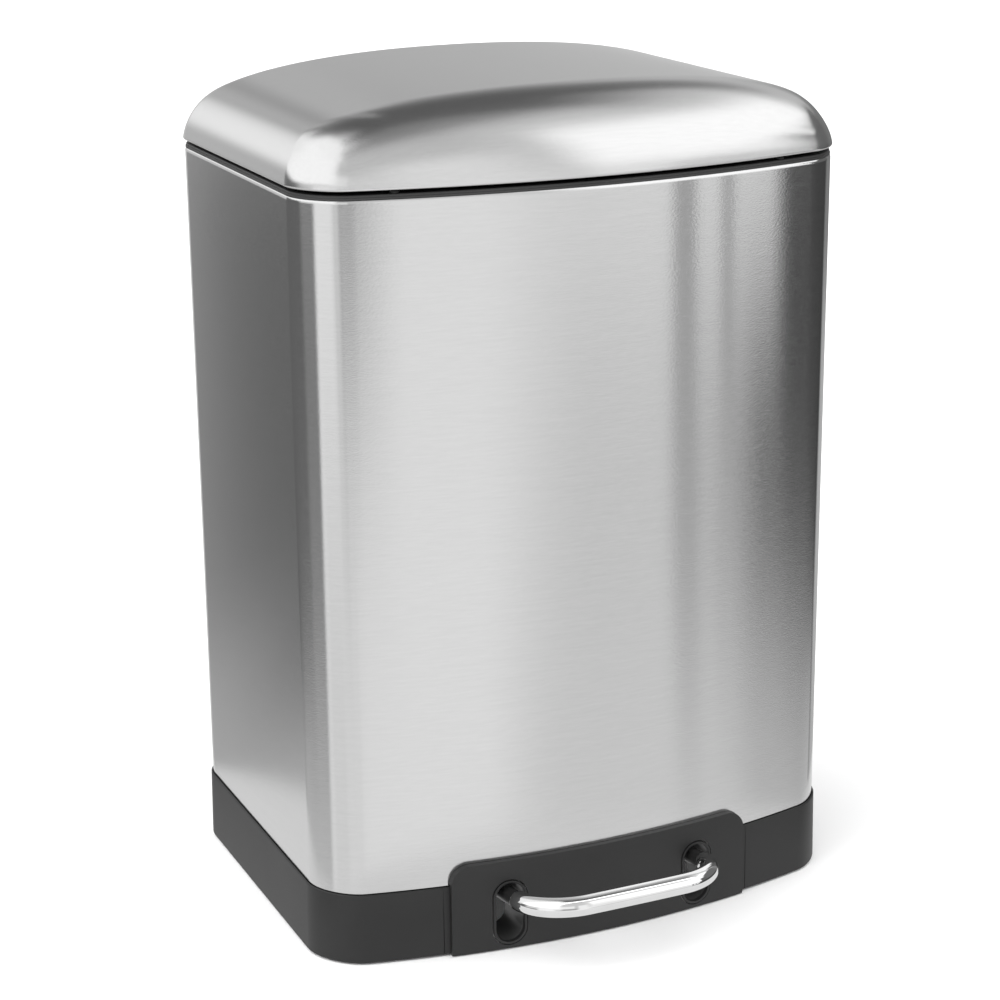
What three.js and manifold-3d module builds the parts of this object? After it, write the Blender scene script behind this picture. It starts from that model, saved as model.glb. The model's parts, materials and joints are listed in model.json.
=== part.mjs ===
// A step-on kitchen bin: a bowed steel body with a domed lid, opened by a bent pedal in the black base.
// Millimetres, +Z up. The front, with the pedal, faces -Y. The origin is under the middle of the
// object's box, on the floor.
import * as THREE from "three";
import { mergeVertices } from "three/addons/utils/BufferGeometryUtils.js";
import Module from "manifold-3d";

// ---------------------------------------------------------------- driving dimensions

const halfWidth = 213.2; // steel wall, outside
const halfDepth = 140.9; // steel wall at its corners, outside
const cornerRadius = 31;
const frontBow = 31.4; // how far the middle of the front stands before its corners
const wallTop = 568;
const skirtTop = 56;
const lidEdge = 574; // lower edge of the closed lid
const lidRise = 61;
const steelThickness = 0.8;
const gap = 0.3; // clearance kept between pieces that touch
const frameShift = 32.5; // from the middle of the four walls to the middle of the whole object

// The outline is followed with these steps.
const cornerSteps = 5;
const bowSteps = 10;

// Pedal: a lever on a fulcrum shaft, tilted up at rest.
const pivotY = -35;
const pivotZ = 21.9;
const pedalTilt = THREE.MathUtils.degToRad(8.84);
const pedalReach = 191.3; // fulcrum to the middle of the tread
const armX = 77.5;
const bendRadius = 38;
const treadRadius = 7.5;
const armRadius = 6.3;
const shaftRadius = 4;
const leverPlate = 2.7;
const tailReach = 166.5; // fulcrum to the hole that holds the lift rod
const tailRest = THREE.MathUtils.degToRad(-3.41); // slope of the tail at rest

// Lid hinge, behind the rear wall, and the wire that turns its crank.
const hingeY = 153;
const hingeZ = 568;
const pinRadius = 2.5;
const crankSlope = THREE.MathUtils.degToRad(-37.5); // of the crank at rest, below the horizontal
const wireRadius = 2.5;
const wireY = 130.6;
const wireHook = 15; // how far each bent end reaches sideways
const wireTop = hingeZ + (hingeY - wireY) * Math.tan(crankSlope);
const wireBottom = pivotZ + tailReach * Math.sin(tailRest);
const hookPlateX = 7; // near side of the crank and of the tail's ear
const hookPlateThick = 2.7;

// Planes clear in front of the whole body, and behind its front wall.
const beyondFront = -200;
const behindFront = -150;

// ---------------------------------------------------------------- materials

function finish(color, roughness, metalness) {
  return new THREE.MeshStandardMaterial({ color, roughness, metalness });
}

const brushedSteel = () => finish(0xc8c9ca, 0.3, 1);
const plainSteel = () => finish(0xa7a9ab, 0.4, 1);
const blackSteel = () => finish(0x26272a, 0.45, 0.5);
const chrome = () => finish(0xe6e7e8, 0.06, 1);
const blackPlastic = () => finish(0x26272a, 0.5, 0);
const greyPlastic = () => finish(0x4a4c50, 0.55, 0);
const nylon = () => finish(0xd9d7d0, 0.5, 0);
const rubber = () => finish(0x1b1b1c, 0.9, 0);

// ---------------------------------------------------------------- solids

const wasm = await Module();
wasm.setup();

function toSolid(geometry) {
  const bare = geometry.clone();
  bare.deleteAttribute("normal");
  bare.deleteAttribute("uv");
  const merged = mergeVertices(bare, 1e-3);
  return new wasm.Manifold(
    new wasm.Mesh({
      numProp: 3,
      vertProperties: merged.attributes.position.array,
      triVerts: new Uint32Array(merged.index.array),
    }),
  );
}

function toGeometry(solid) {
  const mesh = solid.getMesh();
  const geometry = new THREE.BufferGeometry();
  geometry.setAttribute("position", new THREE.BufferAttribute(mesh.vertProperties, 3));
  geometry.setIndex(new THREE.BufferAttribute(mesh.triVerts, 1));
  geometry.computeVertexNormals();
  return geometry;
}

function join(...pieces) {
  return toGeometry(pieces.map(toSolid).reduce((whole, piece) => whole.add(piece)));
}

function cut(body, ...tools) {
  return toGeometry(tools.map(toSolid).reduce((rest, tool) => rest.subtract(tool), toSolid(body)));
}

function common(a, b) {
  return toGeometry(toSolid(a).intersect(toSolid(b)));
}

function box(x0, x1, y0, y1, z0, z1) {
  const geometry = new THREE.BoxGeometry(x1 - x0, y1 - y0, z1 - z0);
  return geometry.translate((x0 + x1) / 2, (y0 + y1) / 2, (z0 + z1) / 2);
}

// Round bars along each axis, given by their ends and the two other coordinates.
function barX(radius, x0, x1, y, z, sides = 16) {
  const geometry = new THREE.CylinderGeometry(radius, radius, x1 - x0, sides);
  return geometry.rotateZ(Math.PI / 2).translate((x0 + x1) / 2, y, z);
}

function barY(radius, y0, y1, x, z, sides = 16) {
  const geometry = new THREE.CylinderGeometry(radius, radius, y1 - y0, sides);
  return geometry.translate(x, (y0 + y1) / 2, z);
}

function barZ(radius, z0, z1, x, y, sides = 16) {
  const geometry = new THREE.CylinderGeometry(radius, radius, z1 - z0, sides);
  return geometry.rotateX(Math.PI / 2).translate(x, y, (z0 + z1) / 2);
}

// A flat shape drawn in Y and Z, made into a plate from x0 to x1.
function plateYZ(shape, x0, x1) {
  const geometry = new THREE.ExtrudeGeometry(shape, {
    depth: x1 - x0,
    bevelEnabled: false,
    curveSegments: 5,
  });
  return geometry.rotateX(Math.PI / 2).rotateZ(Math.PI / 2).translate(x0, 0, 0);
}

// A flat shape drawn in X and Z, made into a block from yFront back to yBack.
function blockXZ(shape, yFront, yBack) {
  const geometry = new THREE.ExtrudeGeometry(shape, {
    depth: yBack - yFront,
    bevelEnabled: false,
    curveSegments: 6,
  });
  return geometry.rotateX(Math.PI / 2).translate(0, yBack, 0);
}

// A slot shape with half-round ends, upright.
function stadium(centreX, centreY, halfAcross, halfAlong) {
  const shape = new THREE.Shape();
  const straight = halfAlong - halfAcross;
  shape.absarc(centreX, centreY + straight, halfAcross, 0, Math.PI);
  shape.absarc(centreX, centreY - straight, halfAcross, Math.PI, 2 * Math.PI);
  return shape;
}

// The same, lying along the first axis of its plane, about a centre on that axis.
function stadiumLying(centre, halfAcross, halfAlong) {
  const shape = new THREE.Shape();
  const straight = halfAlong - halfAcross;
  shape.absarc(centre + straight, 0, halfAcross, -Math.PI / 2, Math.PI / 2);
  shape.absarc(centre - straight, 0, halfAcross, Math.PI / 2, 1.5 * Math.PI);
  return shape;
}

// ---------------------------------------------------------------- plan outline of the body

// How far a corner's arc stands behind or before its centre at this x.
function cornerReach(x, radius) {
  const along = Math.max(0, Math.abs(x) - (halfWidth - cornerRadius));
  return Math.sqrt(Math.max(0, radius * radius - along * along));
}

function frontEdge(x, offset) {
  const radius = cornerRadius + offset;
  const reach = cornerReach(x, radius);
  const across = x / (halfWidth + offset);
  const bow = (frontBow * (1 - across * across) * reach) / radius;
  return -(halfDepth - cornerRadius) - reach - bow;
}

function backEdge(x, offset, back) {
  return back - cornerRadius + cornerReach(x, cornerRadius + offset);
}

// Places in x, from left to right, where an edge has its points.
function edgePlaces(offset, straightSteps) {
  const centre = halfWidth - cornerRadius;
  const radius = cornerRadius + offset;
  const places = [];
  for (let i = 0; i < cornerSteps; i++) {
    places.push(-centre - radius * Math.cos((i / cornerSteps) * (Math.PI / 2)));
  }
  for (let i = 0; i < straightSteps; i++) {
    places.push(-centre + (2 * centre * i) / straightSteps);
  }
  for (let i = 0; i <= cornerSteps; i++) {
    places.push(centre + radius * Math.sin((i / cornerSteps) * (Math.PI / 2)));
  }
  return places;
}

// The outline at an offset outside the steel wall, anticlockwise from above, as points at height z.
function outline(offset, z, back = halfDepth) {
  const front = edgePlaces(offset, bowSteps).map(
    (x) => new THREE.Vector3(x, frontEdge(x, offset), z),
  );
  const rear = edgePlaces(offset, 1).map(
    (x) => new THREE.Vector3(-x, backEdge(x, offset, back), z),
  );
  return [...front, ...rear];
}

// The closed surface through rings of points. A looped one joins its last ring to its first; the
// others are capped at both ends.
function skin(rings, looped = false) {
  const count = rings[0].length;
  const points = rings.flat();
  const index = [];
  const strips = looped ? rings.length : rings.length - 1;
  for (let k = 0; k < strips; k++) {
    const low = k * count;
    const high = ((k + 1) % rings.length) * count;
    for (let i = 0; i < count; i++) {
      const next = (i + 1) % count;
      index.push(low + i, low + next, high + next);
      index.push(low + i, high + next, high + i);
    }
  }
  if (!looped) {
    const top = (rings.length - 1) * count;
    const first = points.length;
    for (const ring of [rings[0], rings[rings.length - 1]]) {
      const middle = new THREE.Vector3();
      ring.forEach((point) => middle.add(point));
      points.push(middle.divideScalar(count));
    }
    for (let i = 0; i < count; i++) {
      const next = (i + 1) % count;
      index.push(next, i, first);
      index.push(top + i, top + next, first + 1);
    }
  }
  const geometry = new THREE.BufferGeometry().setFromPoints(points);
  geometry.setIndex(index);
  return geometry;
}

// A solid between levels given as [offset, z], and a ring whose section is such a list, closed.
const loft = (levels) => skin(levels.map(([offset, z]) => outline(offset, z)));
const band = (section) => skin(section.map(([offset, z]) => outline(offset, z)), true);

// ---------------------------------------------------------------- base

const skirtBottom = 1.5;
const skirtProudBelow = 2.4; // outside the steel at the floor
const skirtProudAbove = 1.6; // and where the steel stands on it
const deckUnder = 58;
const deckOver = 61;
const upstandTop = 68;
const upstandOut = -(steelThickness + gap);
const upstandIn = upstandOut - 2.7;
const skirtInside = -0.8; // inner face of the skirt, beside the outside of the steel
const wireRoom = 2; // clear space around the lift rod where it passes the deck

const slotX = 78.3;
const slotLow = 6.5;
const slotHigh = 54;
const slotHalf = 11;
const sleeveWall = 2;
const sleeveBack = -140;
const sleeveBeside = 2.3; // clear space in the skirt beside a sleeve
const sleeveAbove = 0.6; // and above and below it

const footPlaces = [
  ["foot_front_left", -165, -120],
  ["foot_front_right", 165, -120],
  ["foot_rear_left", -165, 105],
  ["foot_rear_right", 165, 105],
];
const footHeight = 5.7;
const footRadius = 13;
const bossRadius = 12;

const fulcrumX = 60;
const fulcrumScrewY = [pivotY - 14, pivotY + 14];
const screwRadius = 2;
const screwHole = screwRadius + gap;
const headRadius = 4;
const headHeight = 2.2;

function baseShell() {
  const skirt = loft([
    [skirtProudBelow, skirtBottom],
    [skirtProudAbove, skirtTop - gap],
  ]);
  const upstand = loft([
    [upstandOut, skirtTop - 4],
    [upstandOut, upstandTop],
  ]);
  const hollowBelow = loft([
    [skirtInside, 0],
    [skirtInside, skirtTop - 4],
    [upstandIn, skirtTop - 2],
    [upstandIn, deckUnder],
  ]);
  const hollowAbove = loft([
    [upstandIn, deckOver],
    [upstandIn, upstandTop + 1],
  ]);
  const bosses = footPlaces.map(([, x, y]) =>
    barZ(bossRadius, footHeight + gap, deckUnder + 1, x, y),
  );
  const half = slotHalf + sleeveWall + sleeveBeside;
  const low = slotLow - sleeveWall - sleeveAbove;
  const high = slotHigh + sleeveWall + sleeveAbove;
  const slotHoles = [-slotX, slotX].map((x) =>
    box(x - half, x + half, beyondFront, behindFront, low, high),
  );
  const around = wireRadius + wireRoom;
  const wireSlot = box(
    -around,
    wireHook + wireRoom,
    wireY - around,
    wireY + around,
    deckUnder - 1,
    deckOver + 1,
  );
  const screwHoles = [];
  for (const x of [-fulcrumX, fulcrumX]) {
    for (const y of fulcrumScrewY) {
      screwHoles.push(barZ(screwHole, deckUnder - 1, deckOver + 1, x, y, 12));
    }
  }
  const hollow = cut(join(skirt, upstand), hollowBelow, hollowAbove);
  return cut(join(hollow, ...bosses), ...slotHoles, wireSlot, ...screwHoles);
}

function foot() {
  const profile = [
    [0, 0],
    [footRadius - 1, 0],
    [footRadius, 1],
    [footRadius - 0.6, footHeight],
    [0, footHeight],
  ].map(([x, y]) => new THREE.Vector2(x, y));
  return new THREE.LatheGeometry(profile, 20).rotateX(Math.PI / 2);
}

// ---------------------------------------------------------------- steel wall and collar

const notchHalf = 62; // gap in the rear of the wall and the collar, where the hinge passes
const notchLow = 549;
const rivetPlaces = [-46, -20, 20, 46];
const rivetZ = 533;

const rearNotch = (low, high) =>
  box(-notchHalf, notchHalf, halfDepth - 30, halfDepth + 20, low, high);

function bodyShell() {
  const wall = band([
    [0, skirtTop],
    [0, wallTop],
    [-steelThickness, wallTop],
    [-steelThickness, skirtTop],
  ]);
  const rivetHoles = rivetPlaces.map((x) =>
    barY(screwHole, halfDepth - 10, halfDepth + 10, x, rivetZ, 12),
  );
  return cut(wall, rearNotch(notchLow, wallTop + 5), ...rivetHoles);
}

const collarLow = 548;
const collarTop = 571.5;
const collarOver = -0.6; // the collar's flange on top of the wall comes out to here
const collarIn = -8.5; // inner face beside the lid
const collarWall = 2.5;
const ledgeZ = 560.5; // the bucket's rim rests here
const ledgeIn = -15;

function topCollar() {
  const ring = band([
    [upstandOut, collarLow],
    [upstandOut, wallTop + gap],
    [collarOver, wallTop + gap],
    [collarOver, collarTop],
    [collarIn, collarTop],
    [collarIn, ledgeZ],
    [ledgeIn, ledgeZ],
    [ledgeIn, ledgeZ - collarWall],
    [upstandOut - collarWall, ledgeZ - collarWall],
    [upstandOut - collarWall, collarLow],
  ]);
  return cut(ring, rearNotch(collarLow - 5, collarTop + 5));
}

const bumperRadius = 3.6;
const bumperThick = 1.6;

function bumperPlaces() {
  const x = 150;
  const inset = -4.6;
  return [
    ["bumper_front_left", -x, frontEdge(x, inset)],
    ["bumper_front_right", x, frontEdge(x, inset)],
    ["bumper_rear_left", -x, backEdge(x, inset, halfDepth)],
    ["bumper_rear_right", x, backEdge(x, inset, halfDepth)],
  ];
}

// ---------------------------------------------------------------- pedal surround

const surroundHalf = 122.9;
const surroundLow = 1;
const surroundHigh = 71.6;
const surroundRound = 15;
const surroundProud = 5.5;
const lipProud = 6.3;

function surroundFace() {
  const shape = new THREE.Shape();
  shape.moveTo(-surroundHalf, surroundLow);
  shape.lineTo(surroundHalf, surroundLow);
  const high = surroundHigh - surroundRound;
  shape.absarc(surroundHalf - surroundRound, high, surroundRound, 0, Math.PI / 2);
  shape.absarc(-surroundHalf + surroundRound, high, surroundRound, Math.PI / 2, Math.PI);
  shape.closePath();
  return shape;
}

const slotShape = (x, wall) =>
  stadium(x, (slotLow + slotHigh) / 2, slotHalf + wall, (slotHigh - slotLow) / 2 + wall);

function pedalSurround() {
  const face = blockXZ(surroundFace(), beyondFront, behindFront);
  const front = loft([
    [surroundProud, 0],
    [surroundProud, surroundHigh + 5],
  ]);
  const lipFront = loft([
    [lipProud, 0],
    [lipProud, surroundHigh + 5],
  ]);
  const behindBase = loft([
    [skirtProudBelow + gap, 0],
    [skirtProudAbove + gap, skirtTop + gap],
  ]);
  const behindSteel = loft([
    [gap, skirtTop - gap],
    [gap, surroundHigh + 10],
  ]);
  const plate = cut(common(face, front), behindBase, behindSteel);
  const sleeves = [-slotX, slotX].map((x) =>
    common(blockXZ(slotShape(x, sleeveWall), beyondFront, sleeveBack), lipFront),
  );
  const slots = [-slotX, slotX].map((x) =>
    blockXZ(slotShape(x, 0), beyondFront, sleeveBack + 5),
  );
  return cut(join(plate, ...sleeves), ...slots);
}

// ---------------------------------------------------------------- fulcrum in the base

const fulcrumPlate = 2.4;
const flangeUnder = deckUnder - gap - fulcrumPlate;
const flangeAcross = 11; // half sizes of the flange under the deck
const flangeAlong = 22;
const webAlong = 16; // half size of the plate that carries the shaft
const webLow = 13;

// An angle bracket: a flange under the deck and, at its inner edge, a plate with the shaft's hole.
function fulcrumBracket(side) {
  const x = side * fulcrumX;
  const front = pivotY - flangeAlong;
  const back = pivotY + flangeAlong;
  const top = deckUnder - gap;
  const flange = box(x - flangeAcross, x + flangeAcross, front, back, flangeUnder, top);
  const half = fulcrumPlate / 2;
  const webX = x - side * (flangeAcross - half);
  const web = box(
    webX - half,
    webX + half,
    pivotY - webAlong,
    pivotY + webAlong,
    webLow,
    flangeUnder + 1,
  );
  const shaftHole = barX(shaftRadius + gap, webX - 5, webX + 5, pivotY, pivotZ);
  const screwHoles = fulcrumScrewY.map((y) =>
    barZ(screwHole, flangeUnder - 1, deckUnder + 1, x, y, 12),
  );
  return cut(join(flange, web), shaftHole, ...screwHoles);
}

// A pan-head screw pointing down, its head's underside at the origin.
function screw(length) {
  const head = barZ(headRadius, 0, headHeight, 0, 0, 14);
  return join(head, barZ(screwRadius, -length, 1, 0, 0, 10));
}

// ---------------------------------------------------------------- pedal, in the lever's own frame

// The middle line of the tread: a straight bar with a quarter bend at each end.
class TreadLine extends THREE.Curve {
  getPoint(t, target = new THREE.Vector3()) {
    const straight = armX - bendRadius;
    const bend = (bendRadius * Math.PI) / 2;
    const run = (2 * t - 1) * (straight + bend);
    const side = Math.sign(run);
    const far = Math.max(0, Math.abs(run) - straight);
    const turn = far / bendRadius;
    const x = far > 0 ? side * (straight + bendRadius * Math.sin(turn)) : run;
    return target.set(x, -pedalReach + bendRadius * (1 - Math.cos(turn)), 0);
  }
}

function pedalTread() {
  const section = new THREE.Shape();
  section.absarc(0, 0, treadRadius, 0, 2 * Math.PI);
  return new THREE.ExtrudeGeometry(section, {
    extrudePath: new TreadLine(),
    steps: 30,
    curveSegments: 5,
  });
}

const armFront = -pedalReach + bendRadius + gap;
const armBack = -80;
const armScrewY = -92;
const crossFront = -102;

function pedalArm(side) {
  const arm = barY(armRadius, armFront, armBack, side * armX, 0, 14);
  return cut(arm, barZ(screwHole, -8, 1, side * armX, armScrewY, 12));
}

const stripTop = -armRadius - gap;
const stripLow = stripTop - leverPlate;
const crossHalf = armX + 10.5; // the cross plate carries both arms
const earHalf = 17;
const earTop = 9;
const tailHalf = 10;
const tailLow = -7;
const hookAcross = wireRadius + 0.7; // half sizes of the slot for the wire's lower hook
const hookAlong = wireRadius + 1.9;
const bushRadius = 6;

// A pressed steel lever: the cross plate, a strip with an ear on each side for the bushes, and the
// tail, bent up to its slope, with a lug standing on it for the wire.
function pedalLever() {
  const crossPlate = box(-crossHalf, crossHalf, crossFront, armBack - 1, stripLow, stripTop);
  const strip = box(-earHalf, earHalf, armBack - 4, 14, stripLow, stripTop);
  const ears = [-earHalf, earHalf - leverPlate].map((x0) =>
    box(x0, x0 + leverPlate, -12, 13, stripLow, earTop),
  );
  const lug = [hookPlateX, hookPlateX + hookPlateThick];
  const tail = join(
    box(-earHalf, earHalf, 9.5, 24, tailLow, tailLow + leverPlate),
    box(-tailHalf, tailHalf, 20, tailReach + 5, tailLow, tailLow + leverPlate),
    box(...lug, tailReach - 12, tailReach + 7, tailLow, -tailLow + 1),
  );
  const hookSlot = plateYZ(stadiumLying(tailReach, hookAcross, hookAlong), 0, 20);
  const bentTail = cut(tail, hookSlot).rotateX(tailRest + pedalTilt);
  const bushHoles = barX(bushRadius + gap, -30, 30, 0, 0, 20);
  const screwHoles = [-armX, armX].map((x) =>
    barZ(screwHole, stripLow - 1, stripTop + 1, x, armScrewY, 12),
  );
  return cut(join(crossPlate, strip, ...ears, bentTail), bushHoles, ...screwHoles);
}

// A flanged bearing sleeve, its flange outside the lever's ear.
function pedalBush(side) {
  const bore = shaftRadius + gap;
  const long = 6;
  const flange = 2;
  const profile = [
    [bore, 0],
    [bushRadius, 0],
    [bushRadius, long],
    [bushRadius + 3, long],
    [bushRadius + 3, long + flange],
    [bore, long + flange],
    [bore, 0],
  ].map(([x, y]) => new THREE.Vector2(x, y));
  const sleeve = new THREE.LatheGeometry(profile, 20);
  const inner = earHalf + gap - long;
  return sleeve.rotateZ((-side * Math.PI) / 2).translate(side * inner, 0, 0);
}

// ---------------------------------------------------------------- lift rod and its fittings

// A wire with both ends bent sideways.
function liftRod() {
  return join(
    barZ(wireRadius, wireBottom, wireTop, 0, wireY, 12),
    barX(wireRadius, 0, wireHook, wireY, wireTop, 12),
    barX(wireRadius, 0, wireHook, wireY, wireBottom, 12),
    new THREE.SphereGeometry(wireRadius, 10, 6).translate(0, wireY, wireTop),
    new THREE.SphereGeometry(wireRadius, 10, 6).translate(0, wireY, wireBottom),
  );
}

// A push-on ring that keeps the hooked end in its slot.
const clipRadius = 4.4;
const clipX = 11.5;

function rodClip() {
  const ring = barX(clipRadius, 0, 2, 0, 0, 14);
  return cut(ring, barX(wireRadius + gap, -1, 3, 0, 0, 14));
}

const guideLow = 330;
const guideHigh = 342;

// A block fixed inside the rear wall that the wire slides through.
function rodGuide() {
  const inside = halfDepth - steelThickness - gap;
  const block = box(-10, 10, wireY - 7, inside, guideLow, guideHigh);
  return cut(block, barZ(wireRadius + 0.5, guideLow - 1, guideHigh + 1, 0, wireY, 14));
}

const damperX = 46;
const damperY = 122;
const damperRadius = 12;
const damperBore = 8.5;
const damperTop = 160;
const damperFloor = 4;
const damperCapThick = 6;
const pistonRod = 3;
const pistonLow = 88;
const pistonHigh = 98;
const crossheadZ = 205;
const crossheadThick = 8;

function damperCylinder() {
  const low = deckOver + gap;
  const tube = barZ(damperRadius, low, damperTop, damperX, damperY, 20);
  const bore = barZ(damperBore, low + damperFloor, damperTop + 1, damperX, damperY, 20);
  return cut(tube, bore);
}

function damperCap() {
  const low = damperTop + gap;
  const high = low + damperCapThick;
  const disc = barZ(damperRadius + 1, low, high, damperX, damperY, 20);
  return cut(disc, barZ(pistonRod + gap, low - 1, high + 1, damperX, damperY, 14));
}

function damperPiston() {
  return join(
    barZ(damperBore - gap, pistonLow, pistonHigh, damperX, damperY, 20),
    barZ(pistonRod, pistonLow + 2, crossheadZ - gap, damperX, damperY, 12),
  );
}

// The bar that carries the piston rod beside the wire.
function damperCrosshead() {
  const around = 7;
  const high = crossheadZ + crossheadThick;
  const bar = box(
    -around,
    damperX + around,
    damperY - around,
    wireY + around,
    crossheadZ,
    high,
  );
  return cut(bar, barZ(wireRadius + gap, crossheadZ - 1, high + 1, 0, wireY, 14));
}

// ---------------------------------------------------------------- bucket

const bucketBack = 122; // its flat back stands clear of the lift rod
const bucketLow = 66;
const bucketRimZ = ledgeZ + 0.5;
const bucketRimThick = 2.5;
const bucketRimOut = -10;
const bucketTopOut = -17;
const bucketFootOut = -26;
const bucketWall = 2.2;

function bucket() {
  const level = (offset, z) => outline(offset, z, bucketBack);
  return skin([
    level(bucketFootOut, bucketLow),
    level(bucketTopOut, bucketRimZ),
    level(bucketRimOut, bucketRimZ),
    level(bucketRimOut, bucketRimZ + bucketRimThick),
    level(bucketTopOut - bucketWall, bucketRimZ + bucketRimThick),
    level(bucketFootOut - bucketWall, bucketLow + bucketWall),
  ]);
}

// ---------------------------------------------------------------- rear hinge

const bracketFront = halfDepth + gap;
const bracketPlate = 2;
const eyeRadius = 7;
const bracketHalf = 60;
const bracketLow = 518;
const lugX = 53;
const lugLow = 530;
const lugThick = 2.5;
const pinHalf = 57.5;
const pinHole = barX(pinRadius + gap, -70, 70, hingeY, hingeZ, 16);

function hingeBracket() {
  const back = bracketFront + bracketPlate;
  const plate = box(-bracketHalf, bracketHalf, bracketFront, back, bracketLow, notchLow - 1);
  const lugs = [];
  for (const x0 of [-lugX - lugThick, lugX]) {
    const x1 = x0 + lugThick;
    lugs.push(box(x0, x1, bracketFront, hingeY + eyeRadius, lugLow, hingeZ));
    lugs.push(barX(eyeRadius, x0, x1, hingeY, hingeZ, 20));
  }
  const rivetHoles = rivetPlaces.map((x) =>
    barY(screwHole, bracketFront - 5, back + 5, x, rivetZ, 12),
  );
  return cut(join(plate, ...lugs), pinHole, ...rivetHoles);
}

// A rivet through the bracket and the wall, with a head on each side.
function rivet(x) {
  const inside = halfDepth - steelThickness - gap;
  const outside = bracketFront + bracketPlate + gap;
  return join(
    barY(screwRadius, inside - 1, outside + 1, x, rivetZ, 10),
    barY(headRadius, inside - 1.2, inside, x, rivetZ, 12),
    barY(headRadius, outside, outside + 1.5, x, rivetZ, 12),
  );
}

const coverHalf = 75;
const coverBack = 166.5;
const coverLow = 508;
const coverHigh = 571;
const coverWall = 2.2;
const coverRound = 14;

// The cover's plan: square against the wall, with rounded rear corners.
function coverPlan(inset) {
  const round = coverRound - inset;
  const half = coverHalf - inset;
  const back = coverBack - inset;
  const shape = new THREE.Shape();
  shape.moveTo(-half, bracketFront);
  shape.lineTo(half, bracketFront);
  shape.absarc(half - round, back - round, round, 0, Math.PI / 2);
  shape.absarc(-half + round, back - round, round, Math.PI / 2, Math.PI);
  shape.closePath();
  return shape;
}

function coverBlock(inset, low, high) {
  const geometry = new THREE.ExtrudeGeometry(coverPlan(inset), {
    depth: high - low,
    bevelEnabled: false,
    curveSegments: 6,
  });
  return geometry.translate(0, 0, low);
}

function hingeCover() {
  const outside = coverBlock(0, coverLow, coverHigh);
  const inside = coverBlock(coverWall, coverLow + coverWall, coverHigh + 1);
  const half = coverHalf - coverWall;
  const low = coverLow + coverWall;
  const frontClear = box(-half, half, bracketFront - 1, bracketFront + 1, low, coverHigh + 1);
  return cut(outside, join(inside, frontClear));
}

// ---------------------------------------------------------------- lid

const lidOverhang = 1.1;
const lidShoulder = 580; // above this the lid's side is the dome, below it the rolled edge
const sideFullness = 2.17;
const sideSquareness = 3.04;
const frontRound = 47.8; // how far back the front edge is rounded over
const backRound = 40;
const edgeFullness = 1.92;
const lidThickness = 0.9;
const hemOut = -1.2; // the steel is rolled in to here at its edge
const hemRise = 2.5;
const linerOut = -3.2;
const linerThickness = 2;
const linerDrop = 2.2; // below the steel dome, before its own thickness
const linerLow = lidEdge - 0.4;

const rounded = (t) =>
  (1 - (1 - Math.min(1, Math.max(0, t))) ** edgeFullness) ** (1 / edgeFullness);

// Height of the dome above the lid's edge at a place in plan, for a dome pulled in by an inset.
function domeHeight(x, y, offset) {
  const across = Math.min(1, Math.abs(x) / (halfWidth + offset));
  const arch = (1 - across ** sideFullness) ** (1 / sideSquareness);
  const fromFront = (y - frontEdge(x, offset)) / frontRound;
  const fromBack = (backEdge(x, offset, halfDepth) - y) / backRound;
  return lidRise * arch * rounded(fromFront) * rounded(fromBack);
}

const domeRings = 8;

// Rings of a dome from its shoulder to near its top, over the outline at an offset.
function domeRingsOver(offset, drop, shoulder) {
  const edge = outline(offset, shoulder);
  const rings = [];
  for (let k = 0; k < domeRings; k++) {
    const share = Math.cos((k / domeRings) * (Math.PI / 2));
    rings.push(
      edge.map((point) => {
        const x = point.x * share;
        const y = point.y * share;
        const z = Math.max(shoulder, lidEdge + domeHeight(x, y, offset) - drop);
        return new THREE.Vector3(x, y, z);
      }),
    );
  }
  return rings;
}

// An open shell: down its inner face from the top, round its edge, and up its outer face.
const domeShell = (inner, outer) => skin([...inner.reverse(), ...outer]);

function lidShell() {
  const inside = lidOverhang - lidThickness;
  const outer = [
    outline(hemOut, lidEdge),
    outline(hemOut + 1.7, lidEdge + hemRise),
    ...domeRingsOver(lidOverhang, 0, lidShoulder),
  ];
  const inner = [
    outline(hemOut - 1, lidEdge),
    outline(hemOut + 0.7, lidEdge + hemRise + 0.5),
    ...domeRingsOver(inside, lidThickness, lidShoulder),
  ];
  return domeShell(inner, outer);
}

const hingePlateLow = 576.4;
const hingePlateTop = 578.8;
const hingePlateFront = 114.5;
const hingePlateBack = 134;
const lidScrewX = 30;
const lidScrewY = 124;

function lidLiner() {
  const shoulder = lidEdge + 2;
  const inside = linerOut - linerThickness;
  const outer = [
    outline(linerOut, linerLow),
    ...domeRingsOver(linerOut, linerDrop, shoulder),
  ];
  const inner = [
    outline(inside, linerLow),
    ...domeRingsOver(inside, linerDrop + linerThickness, shoulder),
  ];
  const whole = skin(outer);
  const low = hingePlateTop + gap;
  const pads = [-lidScrewX, lidScrewX].map((x) =>
    common(box(x - 20, x + 20, hingePlateFront, hingePlateBack, low, lidEdge + lidRise), whole),
  );
  const screwHoles = [-lidScrewX, lidScrewX].map((x) =>
    barZ(screwHole, low - 1, low + 11, x, lidScrewY, 12),
  );
  return cut(join(domeShell(inner, outer), ...pads), ...screwHoles);
}

// Side view of one leg of the hinge plate: from the plate, under the lid's edge, to the pin.
function hingeLeg() {
  const shape = new THREE.Shape();
  shape.moveTo(116, hingePlateLow);
  shape.lineTo(130, 570);
  shape.lineTo(137, 563);
  shape.lineTo(hingeY, hingeZ - eyeRadius);
  shape.absarc(hingeY, hingeZ, eyeRadius, -Math.PI / 2, Math.PI / 2);
  shape.lineTo(144, lidEdge - 0.9);
  shape.lineTo(136, lidEdge - 0.9);
  shape.lineTo(131, hingePlateTop);
  shape.lineTo(116, hingePlateTop);
  shape.closePath();
  return shape;
}

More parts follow.
